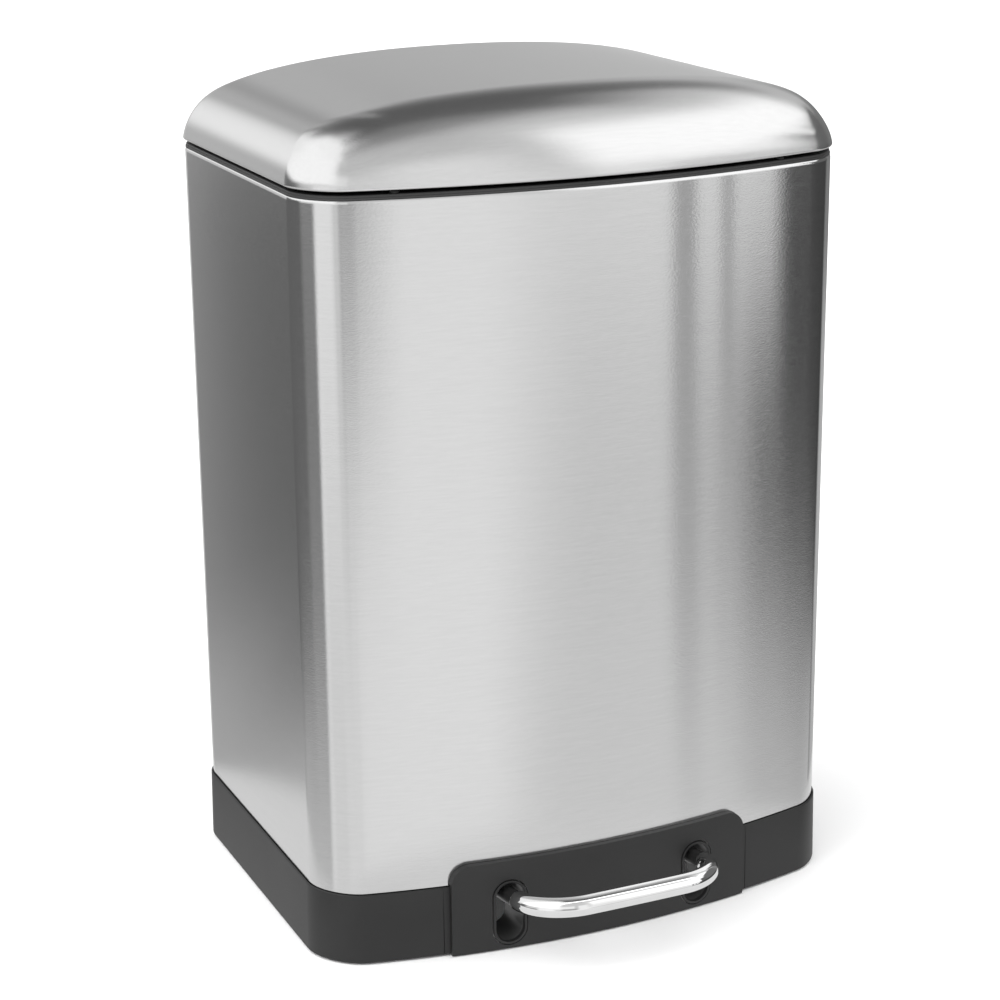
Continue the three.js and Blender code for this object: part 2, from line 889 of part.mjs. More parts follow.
// The crank's arm lies along +Y from the pin before it is turned to its slope.
function crankArm() {
  const reach = (hingeY - wireY) / Math.cos(crankSlope);
  const nearest = hingeY - wireY;
  const middle = (reach + nearest) / 2;
  const armHalf = reach / 2 + eyeRadius - 1;
  const armShape = stadiumLying(reach / 2 + 1.5, eyeRadius, armHalf);
  const arm = plateYZ(armShape, hookPlateX, hookPlateX + hookPlateThick);
  const slotHalfLong = (reach - nearest) / 2 + wireRadius + 1.6;
  const slot = plateYZ(stadiumLying(middle, wireRadius + 1.4, slotHalfLong), 0, 20);
  const turned = Math.PI - crankSlope;
  return cut(arm, slot).rotateX(turned).translate(0, hingeY, hingeZ);
}

// A plate under the liner with three legs on the pin; the one that carries the crank is thicker.
function lidHingePlate() {
  const plate = box(-56, 56, hingePlateFront, hingePlateBack, hingePlateLow, hingePlateTop);
  const legs = [
    [-48.5, -46],
    [46, 48.5],
    [hookPlateX, hookPlateX + hookPlateThick],
  ].map(([x0, x1]) => plateYZ(hingeLeg(), x0, x1));
  const screwHoles = [-lidScrewX, lidScrewX].map((x) =>
    barZ(screwHole, hingePlateLow - 1, hingePlateTop + 1, x, lidScrewY, 12),
  );
  return cut(join(plate, ...legs, crankArm()), pinHole, ...screwHoles);
}

// ---------------------------------------------------------------- assembly

const bin = new THREE.Group();
bin.position.y = frameShift;

function place(parent, name, geometry, material, x = 0, y = 0, z = 0) {
  const mesh = new THREE.Mesh(geometry, material);
  mesh.name = name;
  mesh.position.set(x, y, z);
  parent.add(mesh);
  return mesh;
}

place(bin, "base_shell", baseShell(), blackPlastic());
for (const [name, x, y] of footPlaces) {
  place(bin, name, foot(), rubber(), x, y, 0);
}
place(bin, "body_shell", bodyShell(), brushedSteel());
place(bin, "top_collar", topCollar(), blackPlastic());
for (const [name, x, y] of bumperPlaces()) {
  const disc = barZ(bumperRadius, 0, bumperThick, 0, 0, 14);
  place(bin, name, disc, rubber(), x, y, collarTop + gap);
}
place(bin, "pedal_surround", pedalSurround(), blackPlastic());

place(bin, "fulcrum_bracket_left", fulcrumBracket(-1), blackSteel());
place(bin, "fulcrum_bracket_right", fulcrumBracket(1), blackSteel());
const shaft = barX(shaftRadius, -fulcrumX, fulcrumX, pivotY, pivotZ);
place(bin, "fulcrum_shaft", shaft, blackSteel());
let fulcrumScrews = 0;
for (const x of [-fulcrumX, fulcrumX]) {
  for (const y of fulcrumScrewY) {
    fulcrumScrews += 1;
    const name = "fulcrum_screw_" + fulcrumScrews;
    place(bin, name, screw(8), plainSteel(), x, y, deckOver + gap);
  }
}

place(bin, "hinge_bracket", hingeBracket(), plainSteel());
place(bin, "hinge_pin", barX(pinRadius, -pinHalf, pinHalf, hingeY, hingeZ), plainSteel());
place(bin, "hinge_cover", hingeCover(), blackPlastic());
rivetPlaces.forEach((x, i) => {
  place(bin, "hinge_rivet_" + (i + 1), rivet(x), plainSteel());
});
place(bin, "rod_guide", rodGuide(), nylon());
place(bin, "damper_cylinder", damperCylinder(), greyPlastic());
place(bin, "damper_cap", damperCap(), blackPlastic());

const pedal = new THREE.Group();
pedal.position.set(0, pivotY, pivotZ);
pedal.rotation.x = -pedalTilt;
bin.add(pedal);
place(pedal, "pedal_tread", pedalTread(), chrome());
place(pedal, "pedal_arm_left", pedalArm(-1), blackPlastic());
place(pedal, "pedal_arm_right", pedalArm(1), blackPlastic());
place(pedal, "pedal_lever", pedalLever(), blackSteel());
place(pedal, "pedal_bush_left", pedalBush(-1), nylon());
place(pedal, "pedal_bush_right", pedalBush(1), nylon());
for (const [name, x] of [
  ["pedal_screw_left", -armX],
  ["pedal_screw_right", armX],
]) {
  place(pedal, name, screw(9), blackSteel(), x, armScrewY, stripLow - gap).rotation.x = Math.PI;
}

place(bin, "lift_rod", liftRod(), plainSteel());
place(bin, "rod_clip_upper", rodClip(), plainSteel(), clipX, wireY, wireTop);
place(bin, "rod_clip_lower", rodClip(), plainSteel(), clipX, wireY, wireBottom);
place(bin, "damper_piston", damperPiston(), plainSteel());
place(bin, "damper_crosshead", damperCrosshead(), nylon());

place(bin, "bucket", bucket(), greyPlastic());

place(bin, "lid_shell", lidShell(), brushedSteel());
place(bin, "lid_liner", lidLiner(), blackPlastic());
place(bin, "lid_hinge_plate", lidHingePlate(), plainSteel());
for (const [name, x] of [
  ["lid_screw_left", -lidScrewX],
  ["lid_screw_right", lidScrewX],
]) {
  const mesh = place(bin, name, screw(10), plainSteel(), x, lidScrewY, hingePlateLow - gap);
  mesh.rotation.x = Math.PI;
}

export default bin;
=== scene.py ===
"""Looks for a step-on kitchen bin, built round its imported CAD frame.

Metres, +Z up, the front towards -Y. The large curved pieces are built again here with fine, smooth
surfaces; the small fittings stay as CAD nodes, with softened edges and their own materials.
"""

import json
import math

import bmesh
import bpy
from mathutils import Matrix, Vector

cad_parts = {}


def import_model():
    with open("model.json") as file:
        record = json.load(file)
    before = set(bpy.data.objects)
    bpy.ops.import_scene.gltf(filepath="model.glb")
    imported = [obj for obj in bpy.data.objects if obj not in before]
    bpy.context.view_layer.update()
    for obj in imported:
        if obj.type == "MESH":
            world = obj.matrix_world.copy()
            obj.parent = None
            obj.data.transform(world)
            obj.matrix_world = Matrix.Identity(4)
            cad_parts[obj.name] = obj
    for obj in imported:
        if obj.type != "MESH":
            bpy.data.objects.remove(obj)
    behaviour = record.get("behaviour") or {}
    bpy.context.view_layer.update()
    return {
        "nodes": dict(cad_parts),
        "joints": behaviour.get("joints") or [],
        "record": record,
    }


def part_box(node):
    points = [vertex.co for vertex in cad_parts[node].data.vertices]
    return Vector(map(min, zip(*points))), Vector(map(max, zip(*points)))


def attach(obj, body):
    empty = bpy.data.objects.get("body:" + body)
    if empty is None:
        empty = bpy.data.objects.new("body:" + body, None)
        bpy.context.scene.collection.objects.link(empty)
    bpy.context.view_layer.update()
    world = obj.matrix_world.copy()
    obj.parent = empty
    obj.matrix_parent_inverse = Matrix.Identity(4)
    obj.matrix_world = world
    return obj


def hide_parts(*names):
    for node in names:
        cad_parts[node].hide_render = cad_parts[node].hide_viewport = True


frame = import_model()
scene = bpy.context.scene

# ---------------------------------------------------------------- dimensions, from the frame

mm = 0.001
gap = 0.3 * mm  # between pieces that meet
wall_low, wall_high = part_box("body_shell")
half_width = wall_high.x
corner_radius = 31 * mm
front_bow = 31.4 * mm
back = wall_high.y
front = wall_low.y + front_bow  # where the front of the wall stands at its corners
middle_y = (front + back) / 2
skirt_top = wall_low.z
wall_top = wall_high.z

lid_low, lid_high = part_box("lid_shell")
lid_edge = lid_low.z
lid_rise = lid_high.z - lid_edge

notch_half = 62 * mm  # the gap in the rear of the wall and the collar, where the hinge passes
notch_low = 549 * mm

corner_steps = 16
bow_steps = 72
rear_steps = 24


def corner_reach(x, radius):
    """How far a corner's arc stands behind or before its centre at this x."""
    along = max(0.0, abs(x) - (half_width - corner_radius))
    return math.sqrt(max(0.0, radius * radius - along * along))


def front_edge(x, offset):
    """Where in y the bowed front lies at this x, for an outline at an offset outside the wall."""
    radius = corner_radius + offset
    reach = corner_reach(x, radius)
    across = x / (half_width + offset)
    bow = front_bow * (1 - across * across) * reach / radius
    return front + corner_radius - reach - bow


def back_edge(x, offset, rear):
    """Where in y the flat back lies at this x, for an outline whose wall has its back at rear."""
    return rear - corner_radius + corner_reach(x, corner_radius + offset)


def edge_places(offset, straight_steps):
    """Places in x, from left to right, where an edge has its points."""
    centre = half_width - corner_radius
    radius = corner_radius + offset
    turns = [i / corner_steps * math.pi / 2 for i in range(corner_steps + 1)]
    left = [-centre - radius * math.cos(turn) for turn in turns[:-1]]
    straight = [-centre + 2 * centre * i / straight_steps for i in range(straight_steps)]
    right = [centre + radius * math.sin(turn) for turn in turns]
    return left + straight + right


def outline(offset, z, rear=back):
    """The body's plan at an offset outside the steel wall, anticlockwise from above, at height z."""
    ahead = [Vector((x, front_edge(x, offset), z)) for x in edge_places(offset, bow_steps)]
    behind = [Vector((-x, back_edge(x, offset, rear), z)) for x in edge_places(offset, rear_steps)]
    return ahead + behind


# ---------------------------------------------------------------- meshes


def skin(rings, looped=False):
    """Points and faces through rings of points, joined end to end or closed by a face at each end."""
    count = len(rings[0])
    points = [point for ring in rings for point in ring]
    faces = []
    for k in range(len(rings) if looped else len(rings) - 1):
        low = k * count
        high = (k + 1) % len(rings) * count
        for i in range(count):
            after = (i + 1) % count
            faces.append((low + i, low + after, high + after, high + i))
    if not looped:
        top = (len(rings) - 1) * count
        faces.append(tuple(reversed(range(count))))
        faces.append(tuple(range(top, top + count)))
    return points, faces


def new_object(name, points, faces):
    mesh = bpy.data.meshes.new(name)
    mesh.from_pydata([tuple(point) for point in points], [], faces)
    mesh.update()
    made = bpy.data.objects.new(name, mesh)
    scene.collection.objects.link(made)
    return made


def settle(made):
    """Applies the object's modifiers to its mesh."""
    bpy.context.view_layer.update()
    graph = bpy.context.evaluated_depsgraph_get()
    settled = bpy.data.meshes.new_from_object(made.evaluated_get(graph))
    made.modifiers.clear()
    made.data = settled


def block(low, high):
    """A plain box between two corners."""
    (x0, y0, z0), (x1, y1, z1) = low, high
    rings = [[Vector((x, y, z)) for x, y in ((x0, y0), (x1, y0), (x1, y1), (x0, y1))] for z in (z0, z1)]
    return new_object("tool", *skin(rings))


def cut(made, *tools):
    for tool in tools:
        step = made.modifiers.new("cut", "BOOLEAN")
        step.operation = "DIFFERENCE"
        step.solver = "EXACT"
        step.object = tool
    settle(made)
    for tool in tools:
        bpy.data.objects.remove(tool)


def soften(made, width, segments=2, degrees=40):
    step = made.modifiers.new("soften", "BEVEL")
    step.width = width
    step.segments = segments
    step.limit_method = "ANGLE"
    step.angle_limit = math.radians(degrees)
    step.use_clamp_overlap = True


def smooth(made, degrees=35):
    made.data.shade_smooth()
    made.data.set_sharp_from_angle(angle=math.radians(degrees))
    even = made.modifiers.new("even", "WEIGHTED_NORMAL")
    even.keep_sharp = True


def place(made, material, body, replaces=()):
    """Gives a new piece its material and its body, and the CAD nodes it stands for."""
    made.data.materials.clear()
    made.data.materials.append(material)
    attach(made, body)
    if replaces:
        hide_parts(*replaces)


def plan_uv(made, unwrap):
    """Lays out the mesh by a function from a point to (u, v), in metres."""
    layer = made.data.uv_layers.new(name="grain")
    for loop in made.data.loops:
        point = made.data.vertices[loop.vertex_index].co
        layer.data[loop.index].uv = unwrap(point)


# ---------------------------------------------------------------- materials


class Recipe:
    """A material's node tree, with short ways to add what these finishes need."""

    def __init__(self, name, color, roughness, metallic=0.0):
        self.material = bpy.data.materials.new(name)
        self.material.use_nodes = True
        self.tree = self.material.node_tree
        self.shader = self.tree.nodes["Principled BSDF"]
        self.shader.inputs["Base Color"].default_value = (*color, 1)
        self.shader.inputs["Roughness"].default_value = roughness
        self.shader.inputs["Metallic"].default_value = metallic
        self.coordinates = self.tree.nodes.new("ShaderNodeTexCoord")

    def noise(self, scale, detail, distortion=0.0):
        """Noise with its own scale along each axis, per metre."""
        mapping = self.tree.nodes.new("ShaderNodeMapping")
        mapping.inputs["Scale"].default_value = scale
        texture = self.tree.nodes.new("ShaderNodeTexNoise")
        texture.inputs["Scale"].default_value = 1.0
        texture.inputs["Detail"].default_value = detail
        texture.inputs["Roughness"].default_value = 0.55
        texture.inputs["Distortion"].default_value = distortion
        self.tree.links.new(self.coordinates.outputs["Object"], mapping.inputs["Vector"])
        self.tree.links.new(mapping.outputs["Vector"], texture.inputs["Vector"])
        return texture.outputs["Fac"]

    def spread(self, value, low, high, start=0.3, end=0.7):
        """Maps a noise value onto a range of numbers."""
        node = self.tree.nodes.new("ShaderNodeMapRange")
        node.inputs["From Min"].default_value = start
        node.inputs["From Max"].default_value = end
        node.inputs["To Min"].default_value = low
        node.inputs["To Max"].default_value = high
        self.tree.links.new(value, node.inputs["Value"])
        return node.outputs["Result"]

    def sum(self, first, second):
        node = self.tree.nodes.new("ShaderNodeMath")
        node.operation = "ADD"
        self.tree.links.new(first, node.inputs[0])
        self.tree.links.new(second, node.inputs[1])
        return node.outputs["Value"]

    def color_between(self, value, first, second):
        """Lets a value from 0 to 1 lead the colour from the first to the second."""
        node = self.tree.nodes.new("ShaderNodeMix")
        node.data_type = "RGBA"
        node.inputs["A"].default_value = (*first, 1)
        node.inputs["B"].default_value = (*second, 1)
        self.tree.links.new(value, node.inputs["Factor"])
        self.tree.links.new(node.outputs["Result"], self.shader.inputs["Base Color"])

    def roughness(self, value):
        self.tree.links.new(value, self.shader.inputs["Roughness"])

    def bump(self, height, distance):
        node = self.tree.nodes.new("ShaderNodeBump")
        node.inputs["Distance"].default_value = distance
        self.tree.links.new(height, node.inputs["Height"])
        self.tree.links.new(node.outputs["Normal"], self.shader.inputs["Normal"])


def grey(level):
    return (level, level, level)


def brushed_steel(name, grain_scale, streak_scale, mottle_scale, mottle_depth, roughness):
    """Brushed steel, whose reflections are drawn out across the grain; scales are per metre."""
    recipe = Recipe(name, grey(0.75), roughness, metallic=1.0)
    grain = recipe.noise(grain_scale, detail=3.0)
    streaks = recipe.noise(streak_scale, detail=2.0)
    both = recipe.sum(grain, streaks)
    recipe.color_between(recipe.spread(both, 0.0, 1.0, 0.7, 1.3), grey(0.735), grey(0.765))
    recipe.roughness(recipe.spread(grain, roughness - 0.01, roughness + 0.01))
    recipe.bump(recipe.noise(mottle_scale, detail=1.0), mottle_depth)
    recipe.shader.inputs["Anisotropic"].default_value = 1.0
    recipe.shader.inputs["Anisotropic Rotation"].default_value = 0.25
    tangent = recipe.tree.nodes.new("ShaderNodeTangent")
    tangent.direction_type = "UV_MAP"
    tangent.uv_map = "grain"
    recipe.tree.links.new(tangent.outputs["Tangent"], recipe.shader.inputs["Tangent"])
    return recipe.material


def moulded_plastic(name, dark, light, roughness, specular=0.4, texture=1500):
    """Moulded plastic with a fine spark-eroded texture and slight patches of gloss."""
    recipe = Recipe(name, dark, roughness)
    patches = recipe.noise((9, 9, 9), detail=2.0)
    fine = recipe.noise((texture, texture, texture), detail=2.0)
    recipe.color_between(recipe.spread(patches, 0.0, 1.0), dark, light)
    recipe.roughness(recipe.spread(recipe.sum(patches, fine), roughness - 0.05, roughness + 0.05, 0.7, 1.3))
    recipe.bump(fine, 0.04 * mm)
    recipe.shader.inputs["Specular IOR Level"].default_value = specular
    return recipe.material


def polished_chrome(name):
    recipe = Recipe(name, grey(0.86), 0.03, metallic=1.0)
    smears = recipe.noise((60, 60, 60), detail=4.0)
    waves = recipe.noise((35, 35, 35), detail=0.0)
    recipe.roughness(recipe.spread(smears, 0.015, 0.04))
    recipe.color_between(recipe.spread(smears, 0.0, 1.0), grey(0.9), grey(0.97))
    recipe.bump(waves, 0.03 * mm)
    return recipe.material


def plated_steel(name):
    """Zinc-plated steel, cloudy grey with faint spangle."""
    recipe = Recipe(name, grey(0.5), 0.38, metallic=1.0)
    clouds = recipe.noise((45, 45, 45), detail=4.0, distortion=0.6)
    spangle = recipe.noise((220, 220, 220), detail=1.0)
    recipe.color_between(recipe.spread(clouds, 0.0, 1.0), grey(0.42), (0.56, 0.57, 0.58))
    recipe.roughness(recipe.spread(recipe.sum(clouds, spangle), 0.3, 0.46, 0.7, 1.3))
    recipe.bump(spangle, 0.02 * mm)
    return recipe.material


brushed_body = brushed_steel(
    "brushed_body",
    grain_scale=(160, 160, 1300),
    streak_scale=(40, 40, 500),
    mottle_scale=(450, 450, 1400),
    mottle_depth=0.025 * mm,
    roughness=0.11,
)
brushed_lid = brushed_steel(
    "brushed_lid",
    grain_scale=(160, 1300, 1300),
    streak_scale=(40, 500, 500),
    mottle_scale=(450, 1400, 1400),
    mottle_depth=0.02 * mm,
    roughness=0.15,
)
black_plastic = moulded_plastic("black_plastic", grey(0.012), grey(0.017), 0.46, specular=0.45)
satin_black = moulded_plastic("satin_black", grey(0.012), grey(0.018), 0.34, specular=0.5, texture=900)
# the slot sleeves' plastic is paler than the black plastic: painted light falling into the slots
painted_light_sleeve_plastic = moulded_plastic("painted_light_sleeve_plastic", grey(0.05), grey(0.065), 0.4, specular=0.5)
collar_plastic = moulded_plastic("collar_plastic", grey(0.03), grey(0.04), 0.45)
grey_plastic = moulded_plastic("grey_plastic", grey(0.05), grey(0.065), 0.5)
nylon = moulded_plastic("nylon", (0.62, 0.6, 0.54), (0.7, 0.68, 0.62), 0.5)
# the mechanism is finished black so the inside of the base shows dark through the slots: painted shade
black_steel = moulded_plastic("black_steel", grey(0.01), grey(0.015), 0.5, specular=0.35, texture=900)
rubber = moulded_plastic("rubber", grey(0.01), grey(0.02), 0.8, specular=0.25, texture=700)
chrome = polished_chrome("chrome")
plain_steel = plated_steel("plain_steel")

# ---------------------------------------------------------------- steel wall


def band(section):
    """A ring round the body, whose section is a closed list of (offset, z)."""
    return skin([outline(offset, z) for offset, z in section], looped=True)


def around(point):
    """Unwraps the wall: how far round from the middle of the front, and the height."""
    mean_radius = 200 * mm
    turn = math.atan2(point.x, middle_y - point.y)
    return turn * mean_radius, point.z


def rear_notch(low, high):
    """The tool that cuts the way through the rear for the hinge."""
    return block((-notch_half, back - 31 * mm, low), (notch_half, back + 20 * mm, high))


def steel_wall():
    thick = 0.8 * mm
    section = [
        (-thick, skirt_top),
        (-0.3 * mm, skirt_top),
        (0, skirt_top + 0.35 * mm),
        (0, wall_top - 2.6 * mm),
        (-0.05 * mm, wall_top - 1.9 * mm),
        (-0.2 * mm, wall_top - 1.2 * mm),
        (-0.4 * mm, wall_top - 0.6 * mm),
        (-0.62 * mm, wall_top - 0.2 * mm),
        (-thick, wall_top),
    ]
    made = new_object("steel_wall", *band(section))
    cut(made, rear_notch(notch_low, wall_top + mm))
    smooth(made)
    plan_uv(made, around)
    place(made, brushed_body, "can", ["body_shell"])


# ---------------------------------------------------------------- collar


def collar():
    low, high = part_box("top_collar")
    top = high.z
    ledge = 560.5 * mm  # the bucket's rim hangs just above it
    ledge_under = ledge - 2.5 * mm
    section = [
        (-1.1 * mm, low.z),
        (-1.1 * mm, wall_top + 0.3 * mm),
        (-0.65 * mm, wall_top + 0.3 * mm),
        (-0.4 * mm, wall_top + 0.5 * mm),
        (-0.4 * mm, wall_top + 1.5 * mm),
        (-0.65 * mm, wall_top + 1.7 * mm),
        (-1.0 * mm, wall_top + 1.9 * mm),
        (-1.0 * mm, top - 0.5 * mm),
        (-1.5 * mm, top),
        (-8.1 * mm, top),
        (-8.5 * mm, top - 0.4 * mm),
        (-8.5 * mm, ledge),
        (-15 * mm, ledge),
        (-15 * mm, ledge_under),
        (-3.6 * mm, ledge_under),
        (-3.6 * mm, low.z),
    ]
    made = new_object("collar", *band(section))
    cut(made, rear_notch(low.z - mm, top + mm))
    smooth(made)
    place(made, collar_plastic, "can", ["top_collar"])


# ---------------------------------------------------------------- base

slot_x = 78.3 * mm  # the middle of a pedal slot
slot_low = 6.5 * mm
slot_high = 54 * mm
slot_half = 11 * mm
sleeve_room = 15.3 * mm  # half the width that the skirt leaves free for a slot's sleeve
seam_x = 127.5 * mm
seam_half = 0.25 * mm
deck_under = 58 * mm
deck_over = 61 * mm


def sleeve_hollow(side):
    """The tool that opens the front of the skirt for a slot's sleeve."""
    x = side * slot_x
    low = (x - sleeve_room, front - 60 * mm, 3.9 * mm)
    high = (x + sleeve_room, front - 8 * mm, 56.6 * mm)
    return block(low, high)


def seam_groove(side, top):
    """The tool that cuts a hairline groove down the skirt, beside the surround."""
    x = side * seam_x
    bottom = front_edge(x, 2 * mm) + 0.55 * mm
    return block((x - seam_half, bottom - 9 * mm, 0), (x + seam_half, bottom, top + mm))


def base_skirt():
    low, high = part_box("base_shell")
    top = skirt_top - gap
    section = [
        (-0.8 * mm, low.z),
        (1.9 * mm, low.z),
        (2.25 * mm, low.z + 0.15 * mm),
        (2.4 * mm, low.z + 0.6 * mm),
        (1.62 * mm, top - 0.9 * mm),
        (1.45 * mm, top - 0.4 * mm),
        (1.05 * mm, top - 0.1 * mm),
        (0.6 * mm, top),
        (0.25 * mm, top - 0.3 * mm),
        (0.2 * mm, top - 1.6 * mm),
        (-1.1 * mm, top - 1.6 * mm),
        (-1.1 * mm, high.z),
        (-3.8 * mm, high.z),
        (-3.8 * mm, top - 2 * mm),
        (-0.8 * mm, top - 4 * mm),
    ]
    made = new_object("base_skirt", *band(section))
    tools = []
    for side in (-1, 1):
        tools += [sleeve_hollow(side), seam_groove(side, top)]
    cut(made, *tools)
    smooth(made)
    place(made, black_plastic, "can", ["base_shell"])


def base_deck():
    """The floor of the base, above the mechanism, with the slot for the rod."""
    rings = [outline(-3.9 * mm, z) for z in (deck_under, deck_over)]
    made = new_object("base_deck", *skin(rings))
    rod_low, rod_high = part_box("lift_rod")
    rod_y = (rod_low.y + rod_high.y) / 2
    rod_room = 4.5 * mm
    low = (-5 * mm, rod_y - rod_room, deck_under - mm)
    high = (17 * mm, rod_y + rod_room, deck_over + mm)
    cut(made, block(low, high))
    smooth(made)
    place(made, black_plastic, "can")


def round_bar(name, radius, low, high, sides=32):
    """An upright bar from the middle of one face to the middle of the other."""
    rings = []
    for z in (low.z, high.z):
        ring = []
        for i in range(sides):
            turn = 2 * math.pi * i / sides
            ring.append(Vector((low.x + radius * math.cos(turn), low.y + radius * math.sin(turn), z)))
        rings.append(ring)
    return new_object(name, *skin(rings))


def foot_bosses():
    """The bosses under the deck that the rubber feet are fixed to."""
    boss_radius = 12 * mm
    for name in ("foot_front_left", "foot_front_right", "foot_rear_left", "foot_rear_right"):
        low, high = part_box(name)
        x = (low.x + high.x) / 2
        y = (low.y + high.y) / 2
        bottom = Vector((x, y, high.z + gap))
        made = round_bar(name.replace("foot", "boss"), boss_radius, bottom, Vector((x, y, deck_under)))
        soften(made, 0.5 * mm)
        smooth(made)
        place(made, black_plastic, "can")


# ---------------------------------------------------------------- pedal surround

surround_low, surround_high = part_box("pedal_surround")
surround_round = 15 * mm
surround_proud = 5.5 * mm  # its face, outside the wall's outline
surround_thin = 4.4 * mm  # the same at its top edge
surround_thin_from = skirt_top + 1 * mm  # it grows thinner above this height
surround_over_skirt = 2.8 * mm  # its rear, where it lies over the skirt


def stadium(x, grow, steps=20):
    """An upright slot's outline as (x, z), anticlockwise seen from the front."""
    half = slot_half + grow
    upper = slot_high - slot_half
    lower = slot_low + slot_half
    points = []
    for middle, start in ((upper, 0), (lower, math.pi)):
        for i in range(steps + 1):
            turn = start + math.pi * i / steps
            points.append((x + half * math.cos(turn), middle + half * math.sin(turn)))
    return points


def surround_edge():
    """The plate's own outline as (x, z), with rounded upper corners."""
    half = surround_high.x
    radius = surround_round
    middle = surround_high.z - radius
    steps = 12
    points = [(-half, surround_low.z), (half, surround_low.z)]
    for centre, start in ((half - radius, 0), (radius - half, math.pi / 2)):
        for i in range(steps + 1):
            turn = start + math.pi / 2 * i / steps
            points.append((centre + radius * math.cos(turn), middle + radius * math.sin(turn)))
    return points


def flat_fill(loops):
    """A bmesh of the area inside the first loop and outside the others, in the XZ plane."""
    mesh = bmesh.new()
    edges = []
    for loop in loops:
        points = [mesh.verts.new((x, 0, z)) for x, z in loop]
        edges += [mesh.edges.new((points[i - 1], points[i])) for i in range(len(points))]
    bmesh.ops.triangle_fill(mesh, use_beauty=True, use_dissolve=False, edges=edges)
    return mesh


def slice_mesh(mesh, point, direction):
    """Splits the faces of a bmesh along a plane."""
    everything = mesh.verts[:] + mesh.edges[:] + mesh.faces[:]
    bmesh.ops.bisect_plane(mesh, geom=everything, plane_co=point, plane_no=direction)


def surround_plate():
    """The plate is laid out flat, sliced finely, given its thickness and wrapped round the bowed front."""
    hole = 2.9 * mm
    mesh = flat_fill([surround_edge(), stadium(-slot_x, hole), stadium(slot_x, hole)])
    columns = 48
    rows = 5
    thin_height = surround_high.z - surround_thin_from
    for i in range(1, columns):
        slice_mesh(mesh, (surround_high.x * (2 * i / columns - 1), 0, 0), (1, 0, 0))
    for i in range(rows):
        slice_mesh(mesh, (0, 0, surround_thin_from + thin_height * i / rows), (0, 0, 1))
    rear = bmesh.ops.extrude_face_region(mesh, geom=mesh.faces[:])
    pushed = {point for point in rear["geom"] if isinstance(point, bmesh.types.BMVert)}
    for point in mesh.verts:
        above = max(0.0, point.co.z - surround_thin_from) / thin_height
        behind = surround_over_skirt if above == 0 else gap
        proud = surround_proud - (surround_proud - surround_thin) * above**2
        offset = behind if point in pushed else proud
        point.co.y = front_edge(point.co.x, offset)
    bmesh.ops.recalc_face_normals(mesh, faces=mesh.faces[:])
    made = new_object("surround_plate", [], [])
    mesh.to_mesh(made.data)
    mesh.free()
    soften(made, 1.6 * mm, segments=4)
    smooth(made)
    place(made, black_plastic, "can", ["pedal_surround"])


def slot_ring(name, x, section, material):
    """A ring round a pedal slot.

    Its section lists, in mm, how far outside the slot each point is and how far it stands proud of the
    body, or None where it lies at the sleeve's rear.
    """
    rings = []
    for grow, proud in section:
        loop = stadium(x, grow * mm)
        if proud is None:
            rings.append([Vector((across, surround_high.y, z)) for across, z in loop])
        else:
            rings.append([Vector((across, front_edge(across, proud * mm), z)) for across, z in loop])
    made = new_object(name, *skin(rings, looped=True))
    smooth(made)
    place(made, material, "can")


def slot_sleeve(side):
    """The raised rim round a pedal slot, and the sleeve behind it, paler than the black plastic as painted
    light inside the slot.
    """
    end = "left" if side < 0 else "right"
    x = side * slot_x
    rim = [(2.1, 3.0), (2.1, 5.8), (1.9, 6.2), (1.4, 6.3), (0.6, 6.3), (0.2, 6.1), (0.0, 5.6), (0.0, 3.0)]
    slot_ring("slot_rim_" + end, x, rim, black_plastic)
    slot_ring("slot_sleeve_" + end, x, [(0.0, 2.9), (0.0, None), (2.0, None), (2.0, 2.9)], painted_light_sleeve_plastic)


# ---------------------------------------------------------------- pedal

pedal_joint = next(joint for joint in frame["joints"] if joint["name"] == "pedal_hinge")
pivot = Vector(pedal_joint["pos_m"])
pedal_tilt = math.radians(8.84)  # how steeply the arms rise to the tread at rest
pedal_reach = 191.3 * mm  # the fulcrum to the middle of the tread
arm_x = 77.5 * mm
bend_radius = 38 * mm
tread_radius = 7.5 * mm
arm_radius = 6.3 * mm
tread_bow = 1.6 * mm
lever = Matrix.Translation(pivot) @ Matrix.Rotation(-pedal_tilt, 4, "X")


def tread_point(run):
    """The tread's middle line in the lever's frame, at a distance along it from its middle."""
    straight = arm_x - bend_radius
    turn = max(0.0, abs(run) - straight) / bend_radius
    x = math.copysign(min(abs(run), straight) + bend_radius * math.sin(turn), run)
    y = -pedal_reach + bend_radius * (1 - math.cos(turn))
    bow = tread_bow * max(0.0, 1 - (x / arm_x) ** 2)
    return Vector((x, y - bow, 0))


def tube(name, centres, radii, sides=40):
    """A round tube along points, closed at its ends."""
    rings = []
    for i, centre in enumerate(centres):
        before = centres[max(0, i - 1)]
        after = centres[min(len(centres) - 1, i + 1)]
        turn = (after - before).to_track_quat("Z", "Y")
        ring = []
        for k in range(sides):
            angle = 2 * math.pi * k / sides
            ring.append(centre + turn @ Vector((math.cos(angle), math.sin(angle), 0)) * radii[i])
        rings.append(ring)
    made = new_object(name, *skin(rings))
    made.data.transform(lever)
    return made


def rounded_ends(length, radius, edge):
    """Distances along a bar, and its radius there, with both edges rounded."""
    steps = 4
    stations = []
    for i in range(steps + 1):
        turn = math.pi / 2 * i / steps
        stations.append((edge * (1 - math.sin(turn)), radius - edge * (1 - math.cos(turn))))
    return stations[::-1], [(length - along, wide) for along, wide in stations]


def pedal_tread():
    half = arm_x - bend_radius + bend_radius * math.pi / 2
    near, far = rounded_ends(2 * half, tread_radius, 0.9 * mm)
    steps = 120
    between = [(2 * half * i / steps, tread_radius) for i in range(2, steps - 1)]
    stations = near + between + far
    centres = [tread_point(along - half) for along, radius in stations]
    made = tube("tread_bar", centres, [radius for along, radius in stations])
    made.visible_glossy = False  # the brushing blurs its reflection in the wall away
    smooth(made, degrees=50)
    place(made, chrome, "pedal", ["pedal_tread"])


